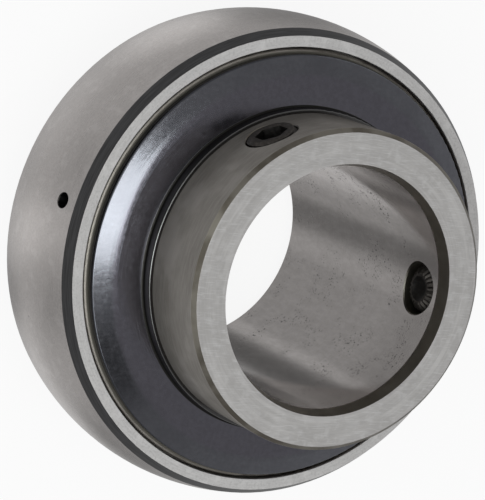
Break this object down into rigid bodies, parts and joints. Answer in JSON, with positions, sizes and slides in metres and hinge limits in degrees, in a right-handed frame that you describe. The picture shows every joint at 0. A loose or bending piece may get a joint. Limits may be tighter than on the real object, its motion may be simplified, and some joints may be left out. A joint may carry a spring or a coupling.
{
  "type": "insert ball bearing",
  "caption": "Insert ball bearing with a spherical outside, a wide inner ring, slingers over its seals, and set screws that lock it to a shaft.",
  "frame": {"origin": "centre of the spherical outside, on the bore axis, in the middle plane of the balls", "axes": "+Z along the bore axis towards the set screw end, +X out through the first set screw"},
  "size_m": [0.052, 0.052, 0.0341],
  "materials": {
    "outer_ring_steel": "fine ground",
    "inner_ring_steel": "fine ground",
    "ball_steel": "polished bearing steel",
    "cage_steel": "pressed sheet",
    "seal_plate_steel": "olive passivated sheet",
    "seal_rubber": "matte",
    "slinger_steel": "blued sheet",
    "screw_steel": "black oxide"
  },
  "bodies": {
    "outer": {"outer_ring": "outer_ring_steel", "seal_backing_front": "seal_plate_steel", "seal_backing_back": "seal_plate_steel", "seal_rubber_front": "seal_rubber", "seal_rubber_back": "seal_rubber", "seal_cover_front": "seal_plate_steel", "seal_cover_back": "seal_plate_steel"},
    "inner": {"inner_ring": "inner_ring_steel", "slinger_front": "slinger_steel", "slinger_back": "slinger_steel"},
    "cage": {"cage_half_front": "cage_steel", "cage_half_back": "cage_steel", "cage_rivets": "cage_steel"},
    "ball_1": {"ball_1": "ball_steel"},
    "ball_2": {"ball_2": "ball_steel"},
    "ball_3": {"ball_3": "ball_steel"},
    "ball_4": {"ball_4": "ball_steel"},
    "ball_5": {"ball_5": "ball_steel"},
    "ball_6": {"ball_6": "ball_steel"},
    "ball_7": {"ball_7": "ball_steel"},
    "ball_8": {"ball_8": "ball_steel"},
    "ball_9": {"ball_9": "ball_steel"},
    "set_screw_1": {"set_screw_1": "screw_steel"},
    "set_screw_2": {"set_screw_2": "screw_steel"}
  },
  "joints": [
    {"name": "inner_spin", "type": "hinge", "parent": "outer", "child": "inner", "pos_m": [0, 0, 0], "axis": [0, 0, 1], "continuous": true},
    {"name": "cage_spin", "type": "hinge", "parent": "outer", "child": "cage", "pos_m": [0, 0, 0], "axis": [0, 0, 1], "continuous": true},
    {"name": "ball_1_spin", "type": "hinge", "parent": "cage", "child": "ball_1", "pos_m": [0.01952, 0, 0], "axis": [0, 0, 1], "continuous": true},
    {"name": "ball_2_spin", "type": "hinge", "parent": "cage", "child": "ball_2", "pos_m": [0.01495, 0.01255, 0], "axis": [0, 0, 1], "continuous": true},
    {"name": "ball_3_spin", "type": "hinge", "parent": "cage", "child": "ball_3", "pos_m": [0.00339, 0.01922, 0], "axis": [0, 0, 1], "continuous": true},
    {"name": "ball_4_spin", "type": "hinge", "parent": "cage", "child": "ball_4", "pos_m": [-0.00976, 0.0169, 0], "axis": [0, 0, 1], "continuous": true},
    {"name": "ball_5_spin", "type": "hinge", "parent": "cage", "child": "ball_5", "pos_m": [-0.01834, 0.00668, 0], "axis": [0, 0, 1], "continuous": true},
    {"name": "ball_6_spin", "type": "hinge", "parent": "cage", "child": "ball_6", "pos_m": [-0.01834, -0.00668, 0], "axis": [0, 0, 1], "continuous": true},
    {"name": "ball_7_spin", "type": "hinge", "parent": "cage", "child": "ball_7", "pos_m": [-0.00976, -0.0169, 0], "axis": [0, 0, 1], "continuous": true},
    {"name": "ball_8_spin", "type": "hinge", "parent": "cage", "child": "ball_8", "pos_m": [0.00339, -0.01922, 0], "axis": [0, 0, 1], "continuous": true},
    {"name": "ball_9_spin", "type": "hinge", "parent": "cage", "child": "ball_9", "pos_m": [0.01495, -0.01255, 0], "axis": [0, 0, 1], "continuous": true},
    {"name": "set_screw_1_travel", "type": "slide", "parent": "inner", "child": "set_screw_1", "axis": [1, 0, 0], "range_m": [-0.0014, 0.0025]},
    {"name": "set_screw_2_travel", "type": "slide", "parent": "inner", "child": "set_screw_2", "axis": [-0.4848, 0.8746, 0], "range_m": [-0.0014, 0.0025]}
  ],
  "couplings": [
    {"joint": "cage_spin", "follows": "inner_spin", "ratio": 0.39831},
    {"joint": "ball_1_spin", "follows": "inner_spin", "ratio": -2.3567},
    {"joint": "ball_2_spin", "follows": "inner_spin", "ratio": -2.3567},
    {"joint": "ball_3_spin", "follows": "inner_spin", "ratio": -2.3567},
    {"joint": "ball_4_spin", "follows": "inner_spin", "ratio": -2.3567},
    {"joint": "ball_5_spin", "follows": "inner_spin", "ratio": -2.3567},
    {"joint": "ball_6_spin", "follows": "inner_spin", "ratio": -2.3567},
    {"joint": "ball_7_spin", "follows": "inner_spin", "ratio": -2.3567},
    {"joint": "ball_8_spin", "follows": "inner_spin", "ratio": -2.3567},
    {"joint": "ball_9_spin", "follows": "inner_spin", "ratio": -2.3567}
  ]
}
